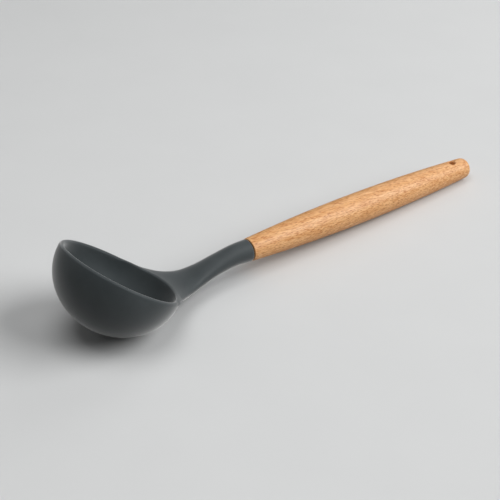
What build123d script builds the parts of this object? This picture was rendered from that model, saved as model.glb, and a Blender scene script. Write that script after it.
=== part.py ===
"""Soup ladle: an overmoulded silicone bowl and neck on a turned beech handle.

Millimetres. +X runs from the bowl to the butt of the handle, +Z is up, and the ladle lies as it
rests on a table, on the bottom of its bowl and the belly of its handle. Y = 0 is its plane of
symmetry. The origin is on the table, in the middle of the ladle's length.

Four pieces: the silicone head, the nylon core that it is moulded over, the beech handle, and
the adhesive that sets around the core's tang in the handle's bore.
"""
from build123d import *
from math import acos, atan2, cos, hypot, pi, radians, sin, sqrt
import os

# Bowl
bowl_radius = 40.0          # outside, at the rim
bowl_depth = 39.0           # outside, from the lip to the pole
bowl_wall = 3.2             # the core and both skins of silicone together
rim_band = 3.0              # straight wall under the lip, where the round of the bowl begins
rim_tilt = 36.5             # degrees that the rim leans down towards the handle

# Neck, from the web that grows out of the rim to the joint with the wood
joint_reach = 96.3          # from the centre of the rim to the joint, along X
joint_height = 16.1         # axis of the handle above the table, at the joint
joint_radius = 7.6          # silicone and wood meet flush here
joint_edge = 0.5            # rounding of both edges, which leaves a fine groove
neck_thin = 10.2            # least thickness, just behind the bowl
neck_dip = 6.8              # sag of its top under the straight line from rim to joint
web_inset = 2.0             # the web starts this far inside the outer face of the bowl
web_sink = 1.9              # this far under the plane of the rim
web_root_share = 0.55       # and this far out from the centre of the rim

# Stations along the neck, from inside the wall of the bowl to the joint. Each section is a
# superellipse whose top half is low and square behind the rim, and round at the joint.
station_shares = (0.0, 0.070, 0.142, 0.233, 0.348, 0.500, 0.665, 0.844, 0.926, 1.0)
flare_shares = (1.0, 0.863, 0.630, 0.404, 0.211, 0.058, -0.010, -0.024, -0.014, 0.0)
fall_shares = (1.0, 0.85, 0.6, 0.4, 0.2, 0.05, 0.0, 0.0, 0.0, 0.0)
dip_shares = (0.0, 0.207, 0.61, 0.921, 1.0, 0.682, 0.245, -0.037, -0.04, 0.0)
thickness_shares = (0.3, 0.4, 0.36, 0.144, 0.0, 0.148, 0.476, 0.778, 0.88, 1.0)
crown_shares = (0.0, 0.005, 0.01, 0.03, 0.13, 0.37, 0.66, 0.91, 0.967, 1.0)
square_shares = (1.0, 1.0, 1.0, 0.8, 0.6, 0.35, 0.15, 0.03, 0.01, 0.0)
turn_shares = (0.0, 0.0, 0.0, 0.0, 0.1, 0.3, 0.5, 0.8, 0.9, 1.0)
section_points = 28
profile_points = 9          # along the round of the bowl, a quarter of an ellipse

# Beech handle
handle_length = 201.5
belly_place = 92.5          # where the barrel is thickest, from the joint
belly_radius = 10.6
butt_radius = 7.1
butt_edge = 4.2             # rounding of the butt
bore_radius = 4.4           # blind bore for the tang
bore_depth = 50.0
bore_point = 2.2            # cone that the drill leaves
hang_hole_radius = 2.5
hang_hole_inset = 15.5      # from the butt

# Nylon core
skin = 0.9                  # silicone over the core, on either side of the bowl
neck_skin = 1.5             # silicone over the core in the neck
window_radius = 3.6         # holes that the silicone flows through from skin to skin
window_count = 8
window_gap = 84.0           # degrees left whole where the neck springs
window_drop = 16.0          # ring of windows below the lip
pole_window_radius = 5.0
neck_window_radius = 1.6
neck_window_shares = (0.42, 0.58, 0.74)

# Tang of the core
tang_length = 46.0
tang_radius = 2.6
tang_tip = 1.0              # bevel of its end
fin_width = 1.7
fin_radius = 3.7
barb_radius = 4.1
barb_land = 0.6
barb_length = 3.2
barb_pitch = 8.0
barb_start = 6.0            # first barb, from the joint
barb_count = 5

overrun = 20.0              # how far a cutter runs past what it cuts

# The bowl, tilted so that its rim faces the far side of the pot
tilt = radians(rim_tilt)
round_depth = bowl_depth - rim_band
rim_height = rim_band * cos(tilt) + hypot(bowl_radius * sin(tilt), round_depth * cos(tilt))
reach_back = rim_band * sin(tilt) + hypot(bowl_radius * cos(tilt), round_depth * sin(tilt))

# The barrel of the handle is two arcs that meet at its belly. The handle comes down from the
# joint at the slope at which the second arc just touches the table.
butt_run, butt_drop = handle_length - belly_place, belly_radius - butt_radius
butt_arc = (butt_run**2 + butt_drop**2) / (2 * butt_drop)
arc_offset = belly_radius - butt_arc
contact = acos((joint_height - butt_arc) / hypot(belly_place, arc_offset))
slope = atan2(belly_place, arc_offset) - contact
reach_front = (joint_reach + (handle_length - butt_edge) * cos(slope)
               + (butt_radius - butt_edge) * sin(slope) + butt_edge)

rim_x = (reach_back - reach_front) / 2
rim_centre = Vector(rim_x, 0, rim_height)
rim_out = Vector(cos(tilt), 0, -sin(tilt))
rim_up = Vector(sin(tilt), 0, cos(tilt))
bowl_plane = Plane(origin=rim_centre, x_dir=rim_out * -1, z_dir=(0, 1, 0))
bowl_axis = Axis(rim_centre, rim_up)

joint = Vector(rim_x + joint_reach, 0, joint_height)
handle_out = Vector(cos(slope), 0, -sin(slope))
handle_up = Vector(sin(slope), 0, cos(slope))
handle_plane = Plane(origin=joint, x_dir=handle_out, z_dir=(0, -1, 0))
handle_axis = Axis(joint, handle_out)
joint_face = Plane(origin=joint, x_dir=(0, 1, 0), z_dir=handle_out)

# The root of the web, on the circle of the rim
lip_radius = bowl_wall / 2
root_out = bowl_radius * web_root_share
root_x = rim_x + root_out * cos(tilt)
root_top = rim_height - root_out * sin(tilt) - web_sink
root_half_width = sqrt((bowl_radius - web_inset)**2 - root_out**2)
joint_top = joint_height + joint_radius


def round_profile(radius, depth):
    """The curve of a bowl in half section, from its pole to the start of the band."""
    angles = [pi / 2 * step / (profile_points - 1) for step in range(profile_points)]
    points = [(radius * sin(angle), -rim_band - depth * cos(angle)) for angle in angles]
    Spline(*points, tangents=[(1, 0), (0, 1)])


def hollow_profile(radius, depth):
    """Half section of the space inside a bowl, carried on past its rim."""
    round_profile(radius, depth)
    Polyline((radius, -rim_band), (radius, overrun), (0, overrun), (0, -rim_band - depth))


def station(index):
    """Place of a station along the neck, and the height of its top."""
    x = root_x + (joint.X - root_x) * station_shares[index]
    line = joint_top + (root_top - joint_top) * fall_shares[index]
    return x, line - neck_dip * dip_shares[index]


def neck_section(index, cover):
    """One section of the neck, drawn in from its outside by the cover over it."""
    x, top = station(index)
    half_width = joint_radius + (root_half_width - joint_radius) * flare_shares[index] - cover
    full = neck_thin + (2 * joint_radius - neck_thin) * thickness_shares[index]
    thickness = full - 2 * cover
    crown = (lip_radius + (joint_radius - lip_radius) * crown_shares[index]) * thickness / full
    turn = slope * turn_shares[index]
    corner = 1 / (1 + square_shares[index])
    points = []
    for step in range(section_points):
        angle = 2 * pi * step / section_points
        across, up = cos(angle), sin(angle)
        if up > 0:
            across = abs(across)**corner * (1 if across > 0 else -1)
            up = up**corner * crown
        else:
            up = up * (thickness - crown)
        points.append((half_width * across, up))
    widest = Plane(origin=(x, 0, top - cover - crown), x_dir=(0, 1, 0),
                   z_dir=(cos(turn), 0, -sin(turn)))
    with BuildSketch(widest) as section:
        with BuildLine():
            Spline(*points, periodic=True)
        make_face()
    return section.sketch


def neck_sections(cover):
    return [neck_section(index, cover) for index in range(len(station_shares))]


# Nylon core: an open bowl with windows, a spine down the neck, a shoulder that seats on the
# wood, and a barbed, four-finned tang
core_outer = bowl_radius - skin
core_inner = bowl_radius - bowl_wall + skin
core_wall = core_outer - core_inner
core_depth = round_depth - skin

with BuildPart() as nylon_core:
    with BuildSketch(bowl_plane):
        with BuildLine():
            round_profile(core_outer, core_depth)
            Line((core_outer, -rim_band), (0, -rim_band))
            Line((0, -rim_band), (0, -rim_band - core_depth))
        make_face()
    revolve(axis=bowl_axis)
    loft(neck_sections(neck_skin))
    with BuildSketch(bowl_plane):
        with BuildLine():
            hollow_profile(core_inner, core_depth - core_wall)
        make_face()
    revolve(axis=bowl_axis, mode=Mode.SUBTRACT)

    window_step = (360 - window_gap) / (window_count - 1)
    for index in range(window_count):
        turn = radians(window_gap / 2 + window_step * index)
        facing = rim_out * cos(turn) + Vector(0, 1, 0) * sin(turn)
        with BuildSketch(Plane(origin=rim_centre - rim_up * window_drop, z_dir=facing)):
            Circle(window_radius)
        extrude(amount=bowl_radius, mode=Mode.SUBTRACT)
    with BuildSketch(Plane(origin=rim_centre - rim_up * bowl_depth / 2, z_dir=rim_up * -1)):
        Circle(pole_window_radius)
    extrude(amount=bowl_depth, mode=Mode.SUBTRACT)
    for share in neck_window_shares:
        place = root_x + (joint.X - root_x) * share
        with BuildSketch(Plane(origin=(place, 0, 0))):
            Circle(neck_window_radius)
        extrude(amount=2 * joint_top, mode=Mode.SUBTRACT)

    with BuildSketch(handle_plane):
        with BuildLine():
            Polyline((0, 0), (0, tang_radius), (tang_length - tang_tip, tang_radius),
                     (tang_length, tang_radius - tang_tip), (tang_length, 0), close=True)
        make_face()
        for index in range(barb_count):
            start = barb_start + barb_pitch * index
            with BuildLine():
                Polyline((start, 0), (start, barb_radius), (start + barb_land, barb_radius),
                         (start + barb_length, tang_radius), (start + barb_length, 0), close=True)
            make_face()
    revolve(axis=handle_axis)
    with BuildSketch(joint_face):
        Rectangle(fin_width, 2 * fin_radius)
        Rectangle(2 * fin_radius, fin_width)
    extrude(amount=tang_length - 2 * tang_tip)

# Silicone head: one moulding around the core, through its windows and over its lip
with BuildPart() as silicone_head:
    hollow = bowl_radius - bowl_wall
    with BuildSketch(bowl_plane):
        with BuildLine():
            round_profile(bowl_radius, round_depth)
            Line((bowl_radius, -rim_band), (bowl_radius, -lip_radius))
            ThreePointArc((bowl_radius, -lip_radius), (bowl_radius - lip_radius, 0),
                          (hollow, -lip_radius))
            Line((hollow, -lip_radius), (hollow, -rim_band))
            round_profile(hollow, round_depth - bowl_wall)
            Line((0, -bowl_depth + bowl_wall), (0, -bowl_depth))
        make_face()
    revolve(axis=bowl_axis)
    loft(neck_sections(0))
    with BuildSketch(bowl_plane):
        with BuildLine():
            hollow_profile(hollow, round_depth - bowl_wall)
        make_face()
    revolve(axis=bowl_axis, mode=Mode.SUBTRACT)
    fillet(silicone_head.edges().sort_by(handle_axis)[-1], joint_edge)
    add(nylon_core.part, mode=Mode.SUBTRACT)

# Beech handle: turned to a slim barrel, bored for the tang and cross-drilled to hang up
with BuildPart() as beech_handle:
    with BuildSketch(handle_plane):
        with BuildLine():
            TangentArc((belly_place, belly_radius), (0, joint_radius), tangent=(-1, 0))
            TangentArc((belly_place, belly_radius), (handle_length, butt_radius), tangent=(1, 0))
            Polyline((handle_length, butt_radius), (handle_length, 0),
                     (bore_depth + bore_point, 0), (bore_depth, bore_radius),
                     (0, bore_radius), (0, joint_radius))
        make_face()
    revolve(axis=handle_axis)
    rims = beech_handle.edges().filter_by(GeomType.CIRCLE)
    fillet(rims.sort_by(handle_axis)[-1], butt_edge)
    front = beech_handle.edges().filter_by(GeomType.CIRCLE).group_by(handle_axis)[0]
    fillet(front.sort_by(SortBy.RADIUS)[-1], joint_edge)
    hang_centre = joint + handle_out * (handle_length - hang_hole_inset)
    with BuildSketch(Plane(origin=hang_centre, x_dir=handle_out, z_dir=handle_up)):
        Circle(hang_hole_radius)
    extrude(amount=belly_radius + overrun, both=True, mode=Mode.SUBTRACT)

# Adhesive: what fills the bore around the tang
with BuildPart() as tang_adhesive:
    with BuildSketch(handle_plane):
        with BuildLine():
            Polyline((0, 0), (0, bore_radius), (bore_depth, bore_radius),
                     (bore_depth + bore_point, 0), close=True)
        make_face()
    revolve(axis=handle_axis)
    add(nylon_core.part, mode=Mode.SUBTRACT)

nylon_core.part.label = "nylon_core"
silicone_head.part.label = "silicone_head"
beech_handle.part.label = "beech_handle"
tang_adhesive.part.label = "tang_adhesive"

os.makedirs("parts", exist_ok=True)
export_step(nylon_core.part, "parts/nylon_core.step")
export_step(silicone_head.part, "parts/silicone_head.step")
export_step(beech_handle.part, "parts/beech_handle.step")
export_step(tang_adhesive.part, "parts/tang_adhesive.step")

print("overall length", round(reach_back + reach_front, 2), "mm")
print("handle slope", round(slope * 180 / pi, 3), "degrees")
print("hanging hole at", [round(value, 3) for value in hang_centre])
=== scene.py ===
# %% [markdown]
# # A soup ladle: silicone bowl and neck on a turned beech handle
# The imported CAD model is the frame. Everything here is built in its coordinates: metres, +X from
# the bowl to the butt of the handle, +Z up, and the ladle lying on the table at Z = 0.

# %% Load the frame
from math import acos, atan2, cos, hypot, pi, radians, sin

import bmesh
import bpy
import numpy as np
from mathutils import Matrix, Vector


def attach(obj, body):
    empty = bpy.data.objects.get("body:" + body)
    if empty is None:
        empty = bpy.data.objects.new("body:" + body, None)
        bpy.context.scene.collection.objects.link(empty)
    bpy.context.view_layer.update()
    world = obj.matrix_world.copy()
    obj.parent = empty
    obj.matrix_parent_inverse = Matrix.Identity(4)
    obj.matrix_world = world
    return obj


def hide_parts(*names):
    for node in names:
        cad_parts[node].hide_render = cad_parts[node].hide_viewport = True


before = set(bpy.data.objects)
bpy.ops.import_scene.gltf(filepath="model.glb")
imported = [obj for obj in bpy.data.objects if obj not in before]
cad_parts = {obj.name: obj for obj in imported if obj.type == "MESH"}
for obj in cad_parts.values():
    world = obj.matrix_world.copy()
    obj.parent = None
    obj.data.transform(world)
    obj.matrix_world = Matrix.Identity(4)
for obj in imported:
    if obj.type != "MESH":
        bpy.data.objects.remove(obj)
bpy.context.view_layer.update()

scene = bpy.context.scene
print("CAD nodes:", sorted(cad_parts))

# %% [markdown]
# ## Small helpers
# Colours are written as sRGB hex values, the way a paint chart gives them, and shaders want
# linear light, so one function converts them. Node trees get one function that adds a node, sets
# its options and joins or fills its inputs. The other two start an empty material and make a
# smooth mesh object.

# %% Helpers for colours, nodes and meshes
MM = 0.001


def linear(hex_colour):
    """An sRGB hex colour as linear RGBA."""
    channels = [int(hex_colour[i:i + 2], 16) / 255 for i in (1, 3, 5)]
    return [c / 12.92 if c <= 0.04045 else ((c + 0.055) / 1.055)**2.4 for c in channels] + [1.0]


def add_node(tree, kind, inputs=None, **settings):
    """Adds a node; an input is a value, or another node's output socket."""
    made = tree.nodes.new(kind)
    for name, value in settings.items():
        setattr(made, name, value)
    for socket, source in (inputs or {}).items():
        if isinstance(source, bpy.types.NodeSocket):
            tree.links.new(source, made.inputs[socket])
        else:
            made.inputs[socket].default_value = source
    return made


def new_material(name):
    """An empty node material and its tree."""
    material = bpy.data.materials.new(name)
    material.use_nodes = True
    material.node_tree.nodes.clear()
    return material, material.node_tree


def mesh_object(name, points, faces, material):
    """A smooth-shaded mesh object from points in metres."""
    mesh = bpy.data.meshes.new(name)
    mesh.from_pydata([tuple(p) for p in points], [], [tuple(f) for f in faces])
    mesh.polygons.foreach_set("use_smooth", [True] * len(mesh.polygons))
    mesh.materials.append(material)
    mesh.update()
    made = bpy.data.objects.new(name, mesh)
    scene.collection.objects.link(made)
    print(name, len(mesh.vertices), "points,", len(mesh.polygons), "faces")
    return made


# %% [markdown]
# ## Camera
# The view is that of the photograph: about 33 degrees above the table and 38 degrees round from
# the side of the ladle, from 0.83 m with a long lens. The frame is 500 pixels square.

# %% Place the camera
view_turn = radians(38.056)
view_height = radians(32.791)
view_roll = radians(0.215)
view_distance = 830.37
view_target = Vector((-37.754, 0, 18.182))
focal_pixels, frame_pixels = 1299.0, 500
left_pixels, down_pixels = 8.673, 0.160

across = Vector((cos(view_turn), -sin(view_turn), 0))
away = Vector((sin(view_turn), cos(view_turn), 0))
up = away * sin(view_height) + Vector((0, 0, cos(view_height)))
back = away * -cos(view_height) + Vector((0, 0, sin(view_height)))
right = across * cos(view_roll) - up * sin(view_roll)
up = across * sin(view_roll) + up * cos(view_roll)

lens = bpy.data.cameras.new("photo_view")
lens.sensor_width = 36
lens.lens = lens.sensor_width * focal_pixels / frame_pixels
lens.shift_x, lens.shift_y = left_pixels / frame_pixels, down_pixels / frame_pixels
camera = bpy.data.objects.new("photo_view", lens)
scene.collection.objects.link(camera)
camera.matrix_world = (Matrix.Translation((view_target + back * view_distance) * MM)
                       @ Matrix((right, up, back)).transposed().to_4x4())
scene.camera = camera
print("camera at", [round(v, 3) for v in camera.location], "lens", round(lens.lens, 1), "mm")

# %% [markdown]
# ## Sizes of the ladle
# These are the driving sizes of the CAD part, in millimetres. The handle is a barrel of two
# arcs that meet at its belly, and it comes down from the joint at the slope at which the second
# arc just touches the table. The bowl is tilted so that its rim faces down the neck.

# %% Driving sizes
bowl_radius, bowl_depth, bowl_wall, rim_band = 40.0, 39.0, 3.2, 3.0
tilt = radians(36.5)
joint_reach, joint_height, joint_radius, joint_edge = 96.3, 16.1, 7.6, 0.5
handle_length, belly_place, belly_radius = 201.5, 92.5, 10.6
butt_radius, butt_edge = 7.1, 4.2
hole_radius, hole_inset = 2.5, 15.5
joint_gap = 0.5     # the dark line between silicone and wood

round_depth = bowl_depth - rim_band
rim_height = rim_band * cos(tilt) + hypot(bowl_radius * sin(tilt), round_depth * cos(tilt))
reach_back = rim_band * sin(tilt) + hypot(bowl_radius * cos(tilt), round_depth * sin(tilt))
butt_run, butt_drop = handle_length - belly_place, belly_radius - butt_radius
butt_arc = (butt_run**2 + butt_drop**2) / (2 * butt_drop)
slope = (atan2(belly_place, belly_radius - butt_arc)
         - acos((joint_height - butt_arc) / hypot(belly_place, belly_radius - butt_arc)))
reach_front = (joint_reach + (handle_length - butt_edge) * cos(slope)
               + (butt_radius - butt_edge) * sin(slope) + butt_edge)
rim_x = (reach_back - reach_front) / 2
joint = Vector((rim_x + joint_reach, 0, joint_height))
handle_out = Vector((cos(slope), 0, -sin(slope)))
print("slope", round(slope * 180 / pi, 3), "degrees, rim centre at", round(rim_x, 2),
      round(rim_height, 2))

# %% [markdown]
# ## Silicone head: its shape as a distance
# The bowl, its round lip, the web and the neck are one soft moulding with no hard edge between
# them. Box modelling could do it, but every blend would be guessed by hand. Here the shape is a
# function instead: for any point it gives the distance to the surface, negative inside. Two
# shapes are joined by the smaller of their distances, and a smooth minimum rounds the corner
# where they meet, just as the toolmaker's fillet does in the mould.

# %% Smooth joins of two distances
# Added where a value could be zero before a division or a power
speck, least_speck = 1e-6, 1e-9


def smooth_min(a, b, width):
    """The smaller of two distances, rounded where they are within width of each other."""
    overlap = np.maximum(width - np.abs(a - b), 0) / width
    return np.minimum(a, b) - overlap**2 * width / 4


def smooth_max(a, b, width):
    """The larger of two distances, rounded in the same way."""
    return -smooth_min(-a, -b, width)


def smooth_step(low, high, value):
    """0 below the low value, 1 above the high one, and a soft rise between them."""
    t = np.clip((value - low) / (high - low), 0, 1)
    return t * t * (3 - 2 * t)


def smooth_through(places, sizes, x):
    """A smooth curve through sizes given at some places."""
    places, sizes = np.asarray(places), np.asarray(sizes)
    x = np.clip(x, places[0], places[-1])
    slopes = np.gradient(sizes, places)
    i = np.clip(np.searchsorted(places, x) - 1, 0, len(places) - 2)
    gap = places[i + 1] - places[i]
    t = (x - places[i]) / gap
    return ((2 * t**3 - 3 * t**2 + 1) * sizes[i] + (t**3 - 2 * t**2 + t) * gap * slopes[i]
            + (3 * t**2 - 2 * t**3) * sizes[i + 1] + (t**3 - t**2) * gap * slopes[i + 1])


# %% [markdown]
# The neck is given by its sections at nine places from the rim to the joint: how high its top
# and bottom lie, how wide it is, how much of it is above its widest line, how square its top is
# and how full its belly is. Behind the rim it is a low, wide web, hollow-bellied so that its
# edge is hardly thicker than the lip; at the joint it is round. The first place lies under the
# lip, so that the web rises out of the rim without a step.

# %% Sections of the neck
neck_places = (10.0, 19.4, 28.8, 36.0, 45.0, 57.0, 70.0, 84.0, 96.3)
neck_tops = (28.6, 25.71, 20.25, 17.9, 17.12, 19.11, 22.03, 23.95, 23.7)
neck_bottoms = (26.2, 18.6, 8.7, 7.0, 6.9, 8.17, 9.45, 9.86, 8.5)
neck_half_widths = (36.2, 31.7, 22.35, 17.06, 12.54, 8.96, 7.37, 7.05, 7.6)
neck_crowns = (1.65, 1.65, 1.7, 2.3, 3.7, 5.4, 6.6, 7.3, 7.6)
neck_squares = (4.0, 4.0, 3.8, 3.0, 2.5, 2.25, 2.1, 2.0, 2.0)
neck_bellies = (1.4, 1.4, 1.45, 1.7, 1.9, 2.0, 2.0, 2.0, 2.0)


def neck_level(x, y, z):
    """How far out a point lies: 0 at the middle, 1 on the surface; and how steeply that grows."""
    reach = x - rim_x
    top = smooth_through(neck_places, neck_tops, reach)
    crown = smooth_through(neck_places, neck_crowns, reach)
    bottom = smooth_through(neck_places, neck_bottoms, reach)
    half_width = smooth_through(neck_places, neck_half_widths, reach)
    square = smooth_through(neck_places, neck_squares, reach)
    belly = smooth_through(neck_places, neck_bellies, reach)
    rise = z - (top - crown)
    height = np.where(rise > 0, crown, top - crown - bottom)
    power = np.where(rise > 0, square, belly)
    side, rise = np.abs(y) / half_width + speck, np.abs(rise) / height + speck
    total = side**power + rise**power
    level = total**(1 / power)
    steepness = total**(1 / power - 1) * np.hypot(side**(power - 1) / half_width,
                                                  rise**(power - 1) / height)
    return level, steepness


def neck_distance(x, y, z):
    """Distance to the neck, cut square at the joint and ended inside the wall of the bowl."""
    level, steepness = neck_level(x, y, z)
    step = 0.2
    along = (neck_level(x + step, y, z)[0] - neck_level(x - step, y, z)[0]) / (2 * step)
    skin = (level - 1) / np.hypot(steepness, along)
    end = (x - joint.x) * handle_out.x + (z - joint.z) * handle_out.z + joint_gap / 2
    root = rim_x + neck_places[0] - x
    return np.maximum(smooth_max(skin, end, 2 * joint_edge), root)


# %% [markdown]
# The bowl is half an ellipsoid under a short straight band, drawn around its tilted axis. Its lip
# is a full round. The hollow is cut last, through the web as well, which leaves the crisp inner
# edge that runs round the mouth where the web meets the bowl.

# %% Distance to the whole head
web_edge = 1.1                  # rounding of the mouth's inner edge at the web
mouth_edge = 0.1                # and round the rest of the mouth
web_facing = (0.3, 0.8)         # how far a place faces the neck, where that rounding sets in
under_blend = 4.5               # how softly the underside of the web flows into the bowl
top_blend = 1.6                 # and its top into the lip
under_depths = (2.0, 9.0)       # below the rim, where the top's blend becomes the underside's
root_blend = 0.2                # what is left of both where the web starts
root_reaches = (14.0, 32.0)     # from the centre of the rim, where they grow to the full


def round_bottom(radial, up_axis, radius, depth):
    """Distance to a round bowl bottom with straight walls above it."""
    below = np.minimum(up_axis + rim_band, 0)
    level = np.hypot(radial / radius, below / depth) + least_speck
    steepness = np.hypot(radial / radius**2, below / depth**2) / level + least_speck
    return (level - 1) / steepness


def head_distance(x, y, z):
    """Distance to the head: bowl and lip, joined to the neck, with the hollow taken out."""
    out, high = x - rim_x, z - rim_height
    forward, up_axis = out * cos(tilt) - high * sin(tilt), out * sin(tilt) + high * cos(tilt)
    radial = np.hypot(forward, y)
    lip = bowl_wall / 2
    outside = np.maximum(round_bottom(radial, up_axis, bowl_radius, round_depth), up_axis + lip)
    torus = np.hypot(radial - bowl_radius + lip, up_axis + lip) - lip
    outside = np.minimum(outside, torus)
    hollow = round_bottom(radial, up_axis, bowl_radius - bowl_wall, round_depth - bowl_wall)
    blend = top_blend + (under_blend - top_blend) * smooth_step(*under_depths, -up_axis)
    blend = root_blend + blend * smooth_step(*root_reaches, out)
    solid = smooth_min(outside, neck_distance(x, y, z), blend)
    facing_neck = forward / (radial + speck)
    edge = mouth_edge + web_edge * smooth_step(*web_facing, facing_neck)
    return smooth_max(solid, -hollow, edge)


# %% [markdown]
# ## From a distance to a mesh
# The surface net method turns the function into quads: space is cut into small cells, each cell
# that the surface passes through gets one point, and each cell edge that crosses the surface
# gets one face. The points then slide onto the exact surface along its slope, and are evened out
# between slides, so that no trace of the cells is left.

# %% Surface net of a distance function
least_squared_slope = 0.05      # so that a flat spot sends no point far
longest_slide = 0.6             # of a point in one go
evening_share = 0.7             # of the way to the middle of a point's neighbours


def surface_net(distance, low, high, pitch, slabs=24):
    """Points and quads of the surface in a box of cells, which is sampled slab by slab."""
    axes = [np.arange(a, b + pitch, pitch) for a, b in zip(low, high)]
    half = [axes[0][:, None, None], np.abs(axes[1])[None, :, None], axes[2][None, None, :]]
    inside = np.concatenate([distance(slab[:, None, None], half[1], half[2]) < 0
                             for slab in np.array_split(axes[0], slabs)])
    corners = sum(inside[i:inside.shape[0] - 1 + i, j:inside.shape[1] - 1 + j,
                         k:inside.shape[2] - 1 + k].astype(np.int8)
                  for i in (0, 1) for j in (0, 1) for k in (0, 1))
    cells = np.argwhere((corners > 0) & (corners < 8))
    number = np.full(corners.shape, -1)
    number[tuple(cells.T)] = np.arange(len(cells))
    points = np.stack([axes[a][cells[:, a]] + pitch / 2 for a in range(3)], 1)
    faces = []
    for axis in range(3):
        turn = (axis, (axis + 1) % 3, (axis + 2) % 3)
        side, cell = inside.transpose(turn), number.transpose(turn)
        i, j, k = np.nonzero(side[:-1, 1:-1, 1:-1] != side[1:, 1:-1, 1:-1])
        ring = np.stack([cell[i, j, k], cell[i, j + 1, k], cell[i, j + 1, k + 1],
                         cell[i, j, k + 1]], 1)
        outwards = side[i, j + 1, k + 1]
        faces.append(np.where(outwards[:, None], ring, ring[:, ::-1]))
    return points, np.concatenate(faces)


def slope_at(distance, points, step=0.05):
    """Slope of the distance at each point, by small steps along each axis."""
    slopes = []
    for axis in range(3):
        shift = np.zeros(3)
        shift[axis] = step
        slopes.append((distance(*(points + shift).T) - distance(*(points - shift).T)) / (2 * step))
    return np.stack(slopes, 1)


def slide_onto(distance, points, times):
    """Moves each point along the slope, onto the surface."""
    for _ in range(times):
        slope_here = slope_at(distance, points)
        squared = np.maximum((slope_here**2).sum(1), least_squared_slope)
        move = (distance(*points.T) / squared)[:, None] * slope_here
        points = points - np.clip(move, -longest_slide, longest_slide)
    return points


def even_out(distance, points, faces, times):
    """Moves each point towards the middle of its neighbours, along the surface only."""
    for _ in range(times):
        total, count = np.zeros_like(points), np.zeros(len(points))
        for corner in range(4):
            for other in (1, 3):
                here, there = faces[:, corner], faces[:, (corner + other) % 4]
                count += np.bincount(here, minlength=len(points))
                for axis in range(3):
                    total[:, axis] += np.bincount(here, points[there, axis], len(points))
        move = total / count[:, None] - points
        normal = slope_at(distance, points)
        normal /= np.linalg.norm(normal, axis=1)[:, None] + least_speck
        move -= (move * normal).sum(1)[:, None] * normal
        points = slide_onto(distance, points + evening_share * move, 1)
    return points


# %% [markdown]
# ## Finish of the head: moulded silicone rubber
# Dark grey food-grade silicone, moulded in a fine-blasted tool. It looks matt and slightly
# waxy: broad, soft highlights, no sharp reflection, and a skin that is grained so finely that it
# only shows as a slight unevenness in the sheen. Its refraction index is 1.41.

# %% Silicone material
grain_width, cloud_width = 0.9, 22      # mm
grain_depth = 0.04
silicone, tree = new_material("charcoal_silicone_rubber")
place = add_node(tree, "ShaderNodeTexCoord").outputs["Object"]
mould_grain = add_node(tree, "ShaderNodeTexNoise", {"Vector": place,
                                                    "Scale": 1 / (grain_width * MM),
                                                    "Detail": 3.0, "Roughness": 0.6})
handling = add_node(tree, "ShaderNodeTexNoise", {"Vector": place, "Scale": 1 / (cloud_width * MM),
                                                 "Detail": 4.0, "Roughness": 0.55})
shade = add_node(tree, "ShaderNodeValToRGB", {"Fac": handling.outputs["Fac"]})
darker, lighter = shade.color_ramp.elements
darker.position, darker.color = 0.3, linear("#363c3e")
lighter.position, lighter.color = 0.7, linear("#404648")
sheen = add_node(tree, "ShaderNodeMapRange", {"Value": handling.outputs["Fac"], "From Min": 0.3,
                                              "From Max": 0.7, "To Min": 0.50, "To Max": 0.58})
relief = add_node(tree, "ShaderNodeBump", {"Height": mould_grain.outputs["Fac"],
                                           "Strength": 0.4, "Distance": grain_depth * MM})
body = add_node(tree, "ShaderNodeBsdfPrincipled", {
    "Base Color": shade.outputs["Color"], "Roughness": sheen.outputs["Result"],
    "Normal": relief.outputs["Normal"], "IOR": 1.41, "Specular IOR Level": 0.3,
    "Sheen Weight": 0.9, "Sheen Roughness": 0.38})
add_node(tree, "ShaderNodeOutputMaterial", {"Surface": body.outputs["BSDF"]})
print("silicone material ready")

# %% Build the head
pitch = 0.6
margin, above_lip = 2, 66   # the box that is searched for the surface
head_low = (rim_x - reach_back - margin, -bowl_radius - margin, -margin)
head_high = (joint.x + margin, bowl_radius + margin, above_lip)
points, faces = surface_net(head_distance, head_low, head_high, pitch)
points = slide_onto(head_distance, points, 3)
points = even_out(head_distance, points, faces, 6)
points = slide_onto(head_distance, points, 2)
head = mesh_object("silicone_bowl_and_neck", points * MM, faces, silicone)
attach(head, "root")
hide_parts("silicone_head")
print("head box", np.round(points.min(0), 2), np.round(points.max(0), 2))

# %% [markdown]
# ## Handle: a turned barrel made by Geometry Nodes
# A turned handle is one rule: a radius for each place along its axis. The tree draws a line,
# crowds its points towards both ends, where the edges are rounded, and sweeps a circle along it
# whose radius follows the two arcs of the barrel. A last step drills the hanging hole with a
# cutter that flares at both ends, which leaves the edge of the hole rounded.

# %% Geometry node tree of the handle
barrel = bpy.data.node_groups.new("turned_barrel", "GeometryNodeTree")
barrel.interface.new_socket("Geometry", in_out="OUTPUT", socket_type="NodeSocketGeometry")
butt_more = 0.3         # a squarer rounding than a circle starts a little earlier
butt_squareness = 2.4   # where 2 is a circle
hole_edge = 0.6
barrel_sizes = {
    "Length": handle_length - joint_gap / 2, "Joint Radius": joint_radius,
    "Joint Edge": joint_edge, "Belly Place": belly_place, "Belly Radius": belly_radius,
    "Butt Radius": butt_radius, "Butt Round": butt_edge + butt_more,
    "Butt Squareness": butt_squareness, "Hole Place": handle_length - hole_inset,
    "Hole Radius": hole_radius, "Hole Edge": hole_edge}
for name, size in barrel_sizes.items():
    barrel.interface.new_socket(name, in_out="INPUT", socket_type="NodeSocketFloat")
for name in ("Rings", "Sides"):
    barrel.interface.new_socket(name, in_out="INPUT", socket_type="NodeSocketInt")
barrel.interface.new_socket("Wood", in_out="INPUT", socket_type="NodeSocketMaterial")
print("sizes of the handle:", barrel_sizes)

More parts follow.
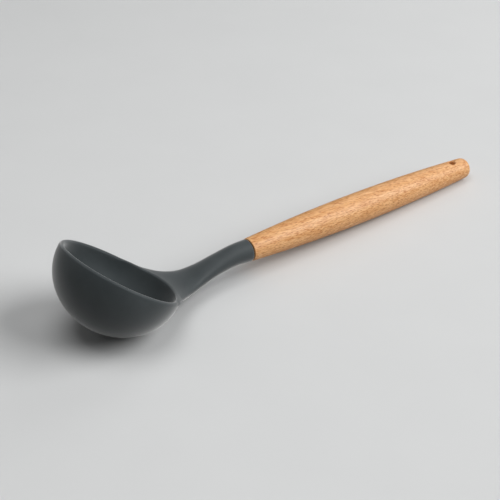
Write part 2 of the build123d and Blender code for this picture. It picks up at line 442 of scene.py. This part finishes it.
# %% [markdown]
# The arithmetic of the tree is a table. Each row is one step: the name of its result, what is
# done, and the inputs or earlier results that it is done to. A loop turns the rows into nodes.
# The arcs of the barrel follow from their run along the axis and their drop in radius.

# %% Arithmetic of the tree
cutter_rings, cutter_sides = 81, 64
cutter_shares = 2.6     # length of the cutter, in radii of the butt
mouth_inset = 0.15      # the flare starts this far inside the wood
barrel_steps = (
    # Places along the axis, crowded towards both ends
    ("last ring", "SUBTRACT", "Rings", 1.0),
    ("share", "DIVIDE", "Index", "last ring"),
    ("angle", "MULTIPLY", "share", pi),
    ("cosine", "COSINE", "angle"),
    ("from start", "SUBTRACT", 1.0, "cosine"),
    ("crowded", "MULTIPLY", "from start", 0.5),
    ("place", "MULTIPLY", "crowded", "Length"),
    # The arc that a place lies on: its run, and how far the radius drops over it
    ("behind belly", "GREATER_THAN", "place", "Belly Place"),
    ("rear run", "SUBTRACT", "Length", "Belly Place"),
    ("longer by", "SUBTRACT", "rear run", "Belly Place"),
    ("run", "MULTIPLY_ADD", "behind belly", "longer by", "Belly Place"),
    ("wider by", "SUBTRACT", "Butt Radius", "Joint Radius"),
    ("end radius", "MULTIPLY_ADD", "behind belly", "wider by", "Joint Radius"),
    ("drop", "SUBTRACT", "Belly Radius", "end radius"),
    # The radius of the arc itself, and the radius of the handle on it
    ("run squared", "MULTIPLY", "run", "run"),
    ("both squared", "MULTIPLY_ADD", "drop", "drop", "run squared"),
    ("twice drop", "MULTIPLY", "drop", 2.0),
    ("arc", "DIVIDE", "both squared", "twice drop"),
    ("offset", "SUBTRACT", "place", "Belly Place"),
    ("offset squared", "MULTIPLY", "offset", "offset"),
    ("arc squared", "MULTIPLY", "arc", "arc"),
    ("height squared", "SUBTRACT", "arc squared", "offset squared"),
    ("height", "SQRT", "height squared"),
    ("arc centre", "SUBTRACT", "arc", "Belly Radius"),
    ("on arc", "SUBTRACT", "height", "arc centre"),
    # Rounding of the butt, squarer than a circle
    ("to butt", "SUBTRACT", "Length", "place"),
    ("short of it", "SUBTRACT", "Butt Round", "to butt"),
    ("in rounding", "MAXIMUM", "short of it", 0.0),
    ("into butt", "DIVIDE", "in rounding", "Butt Round"),
    ("butt power", "POWER", "into butt", "Butt Squareness"),
    ("butt rest", "SUBTRACT", 1.0, "butt power"),
    ("butt rest", "MAXIMUM", "butt rest", 0.0),
    ("butt root", "DIVIDE", 1.0, "Butt Squareness"),
    ("butt factor", "POWER", "butt rest", "butt root"),
    # Small round edge at the joint
    ("edge left", "SUBTRACT", "Joint Edge", "place"),
    ("edge left", "MAXIMUM", "edge left", 0.0),
    ("into edge", "DIVIDE", "edge left", "Joint Edge"),
    ("edge squared", "MULTIPLY", "into edge", "into edge"),
    ("edge rest", "SUBTRACT", 1.0, "edge squared"),
    ("edge rest", "MAXIMUM", "edge rest", 0.0),
    ("edge root", "SQRT", "edge rest"),
    ("edge share", "SUBTRACT", 1.0, "edge root"),
    ("edge inset", "MULTIPLY", "Joint Edge", "edge share"),
    ("with butt", "MULTIPLY", "on arc", "butt factor"),
    ("radius", "SUBTRACT", "with butt", "edge inset"),
    # The cutter of the hanging hole, which flares where it leaves the wood
    ("cutter share", "DIVIDE", "Index", cutter_rings - 1.0),
    ("off middle", "SUBTRACT", "cutter share", 0.5),
    ("cutter length", "MULTIPLY", "Butt Radius", cutter_shares),
    ("along hole", "MULTIPLY", "off middle", "cutter length"),
    ("from axis", "ABSOLUTE", "along hole"),
    ("mouth", "SUBTRACT", "Butt Radius", mouth_inset),
    ("past mouth", "SUBTRACT", "from axis", "mouth"),
    ("past mouth", "MAXIMUM", "past mouth", 0.0),
    ("flare share", "DIVIDE", "past mouth", "Hole Edge"),
    ("flare squared", "MULTIPLY", "flare share", "flare share"),
    ("flare rest", "SUBTRACT", 1.0, "flare squared"),
    ("flare rest", "MAXIMUM", "flare rest", 0.0),
    ("flare root", "SQRT", "flare rest"),
    ("flare out", "SUBTRACT", 1.0, "flare root"),
    ("cutter radius", "MULTIPLY_ADD", "Hole Edge", "flare out", "Hole Radius"))

size = dict(add_node(barrel, "NodeGroupInput").outputs.items())
size["Index"] = add_node(barrel, "GeometryNodeInputIndex").outputs[0]
for result, operation, *sources in barrel_steps:
    joined = {i: size[source] if isinstance(source, str) else source
              for i, source in enumerate(sources)}
    size[result] = add_node(barrel, "ShaderNodeMath", joined, operation=operation).outputs[0]
print("arithmetic steps:", len(barrel_steps))

# %% The line, the circle and the sweep
weld = 0.002
line = add_node(barrel, "GeometryNodeMeshLine", {"Count": size["Rings"]})
where = add_node(barrel, "ShaderNodeCombineXYZ", {"X": size["place"]})
line = add_node(barrel, "GeometryNodeSetPosition", {"Geometry": line.outputs["Mesh"],
                                                    "Position": where.outputs[0]})
axis_curve = add_node(barrel, "GeometryNodeMeshToCurve", {"Mesh": line.outputs[0]})
circle = add_node(barrel, "GeometryNodeCurvePrimitiveCircle", {"Resolution": size["Sides"],
                                                               "Radius": 1.0})
turned = add_node(barrel, "GeometryNodeCurveToMesh", {
    "Curve": axis_curve.outputs[0], "Profile Curve": circle.outputs[0], "Scale": size["radius"],
    "Fill Caps": True})
turned = add_node(barrel, "GeometryNodeMergeByDistance", {"Geometry": turned.outputs[0],
                                                          "Distance": weld})

# %% The hole's flared cutter, in the same tree
cutter_line = add_node(barrel, "GeometryNodeMeshLine", {"Count": cutter_rings})
cutter_place = add_node(barrel, "ShaderNodeCombineXYZ", {"X": size["Hole Place"],
                                                         "Z": size["along hole"]})
cutter_line = add_node(barrel, "GeometryNodeSetPosition", {
    "Geometry": cutter_line.outputs["Mesh"], "Position": cutter_place.outputs[0]})
cutter_curve = add_node(barrel, "GeometryNodeMeshToCurve", {"Mesh": cutter_line.outputs[0]})
cutter_circle = add_node(barrel, "GeometryNodeCurvePrimitiveCircle", {
    "Resolution": cutter_sides, "Radius": 1.0})
cutter = add_node(barrel, "GeometryNodeCurveToMesh", {
    "Curve": cutter_curve.outputs[0], "Profile Curve": cutter_circle.outputs[0],
    "Scale": size["cutter radius"], "Fill Caps": True})
drilled = add_node(barrel, "GeometryNodeMeshBoolean", {0: turned.outputs[0], 1: cutter.outputs[0]},
                   operation="DIFFERENCE", solver="EXACT")

# %% End of the tree
real = add_node(barrel, "GeometryNodeRealizeInstances", {"Geometry": drilled.outputs[0]})
wooden = add_node(barrel, "GeometryNodeSetMaterial", {"Geometry": real.outputs[0],
                                                      "Material": size["Wood"]})
add_node(barrel, "NodeGroupOutput", {0: wooden.outputs[0]})
print("handle tree:", len(barrel.nodes), "nodes")

# %% [markdown]
# ## Finish of the handle: oiled beech
# Beech is pale and pinkish tan, with an even ground, fine long fibres a shade darker, and
# thousands of short brown flecks, the rays of the wood, which run along the grain, two to four
# millimetres long. Broad growth bands are faint. The wood is sanded and oiled, so it has a soft
# sheen and hardly any gloss.

# %% Beech material
# Widths of the patterns across the grain, in millimetres. Along it they are longer by one over
# the squeeze, so growth bands run on for 75 mm and the rays for 3.5.
growth_width, fibre_width, ray_width, pore_width = 3.4, 0.65, 0.6, 0.5
growth_squeeze, fibre_squeeze, ray_squeeze = 0.045, 0.09, 0.17
pore_depth = 0.05
grain_turn = radians(9)
beech, tree = new_material("oiled_beech_wood")
place = add_node(tree, "ShaderNodeTexCoord").outputs["Object"]
along_grain = add_node(tree, "ShaderNodeMapping", {"Vector": place,
                                                   "Rotation": (0, -slope, grain_turn)})
streaks = add_node(tree, "ShaderNodeMapping", {"Vector": along_grain.outputs[0],
                                               "Scale": (growth_squeeze, 1, 1)})
growth = add_node(tree, "ShaderNodeTexNoise", {"Vector": streaks.outputs[0],
                                               "Scale": 1 / (growth_width * MM), "Detail": 5.0,
                                               "Roughness": 0.62})
ground = add_node(tree, "ShaderNodeValToRGB", {"Fac": growth.outputs["Fac"]})
darker, lighter = ground.color_ramp.elements
darker.position, darker.color = 0.30, linear("#dca369")
lighter.position, lighter.color = 0.68, linear("#efbd87")
long_fibres = add_node(tree, "ShaderNodeMapping", {"Vector": along_grain.outputs[0],
                                                   "Scale": (fibre_squeeze, 1, 1)})
fibres = add_node(tree, "ShaderNodeTexNoise", {"Vector": long_fibres.outputs[0],
                                               "Scale": 1 / (fibre_width * MM), "Detail": 2.0,
                                               "Roughness": 0.7})
fibre_amount = add_node(tree, "ShaderNodeMapRange", {
    "Value": fibres.outputs["Fac"], "From Min": 0.44, "From Max": 0.62,
    "To Min": 0.0, "To Max": 0.95})
fibred = add_node(tree, "ShaderNodeMix", {
    "Factor": fibre_amount.outputs[0], 6: ground.outputs["Color"], 7: linear("#c6854a")},
    data_type="RGBA")
short_rays = add_node(tree, "ShaderNodeMapping", {"Vector": along_grain.outputs[0],
                                                  "Scale": (ray_squeeze, 1, 1)})
rays = add_node(tree, "ShaderNodeTexVoronoi", {"Vector": short_rays.outputs[0],
                                               "Scale": 1 / (ray_width * MM)})
ray_shape = add_node(tree, "ShaderNodeMapRange", {
    "Value": rays.outputs["Distance"], "From Min": 0.20, "From Max": 0.44,
    "To Min": 1.0, "To Max": 0.0})
ray_choice = add_node(tree, "ShaderNodeMapRange", {
    "Value": rays.outputs["Color"], "From Min": 0.30, "From Max": 0.7,
    "To Min": 0.0, "To Max": 0.9})
ray_amount = add_node(tree, "ShaderNodeMath", {0: ray_shape.outputs[0], 1: ray_choice.outputs[0]},
                      operation="MULTIPLY")
wood_colour = add_node(tree, "ShaderNodeMix", {
    "Factor": ray_amount.outputs[0], 6: fibred.outputs[2], 7: linear("#a25b2a")},
    data_type="RGBA")
pores = add_node(tree, "ShaderNodeTexNoise", {"Vector": streaks.outputs[0],
                                              "Scale": 1 / (pore_width * MM), "Detail": 2.0})
relief = add_node(tree, "ShaderNodeBump", {"Height": pores.outputs["Fac"], "Strength": 0.35,
                                           "Distance": pore_depth * MM})
gloss = add_node(tree, "ShaderNodeMapRange", {"Value": growth.outputs["Fac"], "From Min": 0.3,
                                              "From Max": 0.7, "To Min": 0.50, "To Max": 0.42})
body = add_node(tree, "ShaderNodeBsdfPrincipled", {
    "Base Color": wood_colour.outputs[2], "Roughness": gloss.outputs[0],
    "Normal": relief.outputs["Normal"], "IOR": 1.47})
add_node(tree, "ShaderNodeOutputMaterial", {"Surface": body.outputs["BSDF"]})
print("beech material ready")

# %% Run the tree and keep its mesh
rings, sides = ((220, 112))
sharp_angle = radians(40)
carrier = bpy.data.objects.new("handle_carrier", bpy.data.meshes.new("handle_carrier"))
scene.collection.objects.link(carrier)
modifier = carrier.modifiers.new("turned_barrel", "NODES")
modifier.node_group = barrel
inputs = {item.name: item.identifier for item in barrel.interface.items_tree
          if item.in_out == "INPUT"}
for name, value in {**barrel_sizes, "Rings": rings, "Sides": sides, "Wood": beech}.items():
    modifier[inputs[name]] = value
turned_mesh = bpy.data.meshes.new_from_object(
    carrier.evaluated_get(bpy.context.evaluated_depsgraph_get()))
carrier.modifiers.remove(modifier)
bpy.data.objects.remove(carrier)
turned_mesh.name = "beech_handle_turned"
turned_mesh.materials.clear()
turned_mesh.materials.append(beech)
turned_mesh.polygons.foreach_set("material_index", [0] * len(turned_mesh.polygons))
turned_mesh.transform(Matrix.Translation((joint + handle_out * joint_gap / 2) * MM)
                      @ Matrix.Rotation(slope, 4, "Y") @ Matrix.Scale(MM, 4))
turned_mesh.polygons.foreach_set("use_smooth", [True] * len(turned_mesh.polygons))
turned_mesh.set_sharp_from_angle(angle=sharp_angle)
handle = bpy.data.objects.new("beech_handle_turned", turned_mesh)
scene.collection.objects.link(handle)
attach(handle, "root")
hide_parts("beech_handle")
print("handle:", len(turned_mesh.vertices), "points,", len(turned_mesh.materials), "material")

# %% [markdown]
# ## Hidden pieces
# The nylon core and the glue around its tang can't be seen on the finished ladle, but they are
# part of it, and they get the finish of the real ones: black moulded nylon is slightly waxy, and
# the glue sets to a clear amber. The glue stays as the CAD made it.

# %% Materials of the core and the glue
def plain_plastic(name, dark, pale, cloud_width, roughness, grain_depth=0.05):
    """A plastic whose colour is faintly clouded; width and depth in millimetres."""
    material, tree = new_material(name)
    place = add_node(tree, "ShaderNodeTexCoord").outputs["Object"]
    cloud = add_node(tree, "ShaderNodeTexNoise", {"Vector": place,
                                                  "Scale": 1 / (cloud_width * MM),
                                                  "Detail": 3.0})
    colour = add_node(tree, "ShaderNodeMix", {"Factor": cloud.outputs["Fac"], 6: linear(dark),
                                              7: linear(pale)}, data_type="RGBA")
    relief = add_node(tree, "ShaderNodeBump", {"Height": cloud.outputs["Fac"], "Strength": 0.2,
                                               "Distance": grain_depth * MM})
    body = add_node(tree, "ShaderNodeBsdfPrincipled", {
        "Base Color": colour.outputs[2], "Normal": relief.outputs["Normal"],
        "Roughness": roughness, "IOR": 1.53})
    add_node(tree, "ShaderNodeOutputMaterial", {"Surface": body.outputs["BSDF"]})
    return material


nylon = plain_plastic("moulded_black_nylon", "#232425", "#2c2e2f", 1.5, 0.5)
epoxy = plain_plastic("cured_amber_epoxy", "#b98a4a", "#cfa668", 4.0, 0.3)
for material_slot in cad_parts["tang_adhesive"].material_slots:
    material_slot.material = epoxy
print("hidden finishes:", nylon.name, epoxy.name)

# %% [markdown]
# The silicone flows over the core on every side. The skin made above fits closer than the CAD one
# where the web leaves the bowl, so the core is a merged copy of the CAD node, and each of its
# points that lies too near to the outside slides inwards along the slope of the head's distance.
# The tang is left alone: it belongs in the wood.

# %% Core under its skin
least_skin = 0.7
core_weld = 0.001
web_reaches, long_edge = (10, 45), 4    # the web's long edges are halved, so that they can bend
tang_margin = 3                         # the tang counts from this far before the joint
core_net = bmesh.new()
core_net.from_mesh(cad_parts["nylon_core"].data)
bmesh.ops.remove_doubles(core_net, verts=core_net.verts, dist=core_weld * MM)
near_web = [edge for edge in core_net.edges if edge.calc_length() > long_edge * MM
            and all(web_reaches[0] < v.co.x / MM - rim_x < web_reaches[1] for v in edge.verts)]
bmesh.ops.subdivide_edges(core_net, edges=near_web, cuts=1)
bmesh.ops.triangulate(core_net, faces=core_net.faces)
core_points = np.array([v.co for v in core_net.verts]) / MM
in_head = core_points[:, 0] < joint.x - tang_margin
for _ in range(4):
    too_near = in_head & (head_distance(*core_points.T) > -least_skin)
    depth_short = head_distance(*core_points[too_near].T) + least_skin
    inwards = slope_at(head_distance, core_points[too_near])
    inwards /= np.linalg.norm(inwards, axis=1)[:, None] + least_speck
    core_points[too_near] -= depth_short[:, None] * inwards
for vertex, point in zip(core_net.verts, core_points):
    vertex.co = point * MM
core_mesh = bpy.data.meshes.new("nylon_core_under_skin")
core_net.to_mesh(core_mesh)
core_net.free()
core_mesh.materials.append(nylon)
core = bpy.data.objects.new("nylon_core_under_skin", core_mesh)
scene.collection.objects.link(core)
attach(core, "root")
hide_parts("nylon_core")
middles = np.array([face.center for face in core_mesh.polygons]) / MM
middles = middles[middles[:, 0] < joint.x - tang_margin]
print("core:", len(core_mesh.polygons), "faces, the nearest lies at",
      round(float(head_distance(*middles.T).max()), 2), "mm, where the outside is 0")

# %% [markdown]
# ## Table and light
# A plain pale table top, a big soft light high on the right, a smaller one overhead, and weak ones
# from the left and from behind, so that the side of the bowl that faces the camera is the darker
# one and both its edges catch some light. The camera sees the table paler than the light that it
# throws back on the ladle, and further off the table fades into the pale background.

# %% Floor
fade_from, fade_to = 0.5, 1.6   # metres from the origin
floor_half = 4.0
floor_cloud_width = 60          # mm
pale, bounced = linear("#d4d5d5"), linear("#b8b8b7")
floor_finish, tree = new_material("pale_matt_table")
floor_place = add_node(tree, "ShaderNodeTexCoord").outputs["Object"]
rays = add_node(tree, "ShaderNodeLightPath")
cloud = add_node(tree, "ShaderNodeTexNoise", {"Vector": floor_place,
                                              "Scale": 1 / (floor_cloud_width * MM)})
cloudy = add_node(tree, "ShaderNodeMix", {"Factor": cloud.outputs["Fac"], 6: pale,
                                          7: linear("#d8d9d9")}, data_type="RGBA")
seen = add_node(tree, "ShaderNodeMix", {"Factor": rays.outputs["Is Camera Ray"], 6: bounced,
                                        7: cloudy.outputs[2]}, data_type="RGBA")
table_top = add_node(tree, "ShaderNodeBsdfPrincipled", {"Base Color": seen.outputs[2],
                                                        "Roughness": 0.7})
distance = add_node(tree, "ShaderNodeVectorMath", {0: floor_place}, operation="LENGTH")
far_off = add_node(tree, "ShaderNodeMapRange", {"Value": distance.outputs["Value"],
                                                "From Min": fade_from, "From Max": fade_to},
                   interpolation_type="SMOOTHSTEP")
horizon = add_node(tree, "ShaderNodeMath", {0: far_off.outputs[0],
                                            1: rays.outputs["Is Camera Ray"]},
                   operation="MULTIPLY")
haze = add_node(tree, "ShaderNodeEmission", {"Color": pale, "Strength": 1.0})
surface = add_node(tree, "ShaderNodeMixShader", {0: horizon.outputs[0], 1: table_top.outputs[0],
                                                 2: haze.outputs[0]})
add_node(tree, "ShaderNodeOutputMaterial", {"Surface": surface.outputs[0]})
floor = mesh_object("table", [(-floor_half, -floor_half, 0), (floor_half, -floor_half, 0),
                              (floor_half, floor_half, 0), (-floor_half, floor_half, 0)],
                    [(0, 1, 2, 3)], floor_finish)

# %% World and lights
world = bpy.data.worlds.new("studio")
scene.world = world
world.use_nodes = True
world.node_tree.nodes.clear()
world_rays = add_node(world.node_tree, "ShaderNodeLightPath")
brightness = add_node(world.node_tree, "ShaderNodeMapRange", {
    "Value": world_rays.outputs["Is Camera Ray"], "To Min": 0.05, "To Max": 1.0})
sky = add_node(world.node_tree, "ShaderNodeBackground", {"Color": pale,
                                                         "Strength": brightness.outputs[0]})
add_node(world.node_tree, "ShaderNodeOutputWorld", {"Surface": sky.outputs[0]})


def soft_light(name, position, width, power):
    """A white round area light, aimed at the ladle; width in metres, power in watts."""
    lamp = bpy.data.lights.new(name, "AREA")
    lamp.shape, lamp.size = "DISK", width
    lamp.energy = power
    made = bpy.data.objects.new(name, lamp)
    scene.collection.objects.link(made)
    made.location = position
    made.rotation_euler = (aim - position).to_track_quat("-Z", "Y").to_euler()


# Places in metres: across is to the camera's right, and away is behind the ladle
aim = Vector((-0.03, 0, 0.02))
soft_light("key_right", across * 2.72 - away * 0.4 + Vector((0, 0, 2.15)), 2.9, 121)
soft_light("overhead", Vector((-0.25, 0, 1.4)), 1.0, 7.0)
soft_light("fill_left", across * -1.15 + Vector((0, 0, 0.8)), 1.0, 1.3)
soft_light("rim_behind", across * 0.55 + away * 1.0 + Vector((0, 0, 0.8)), 1.0, 3.2)
scene.view_settings.view_transform = "Standard"
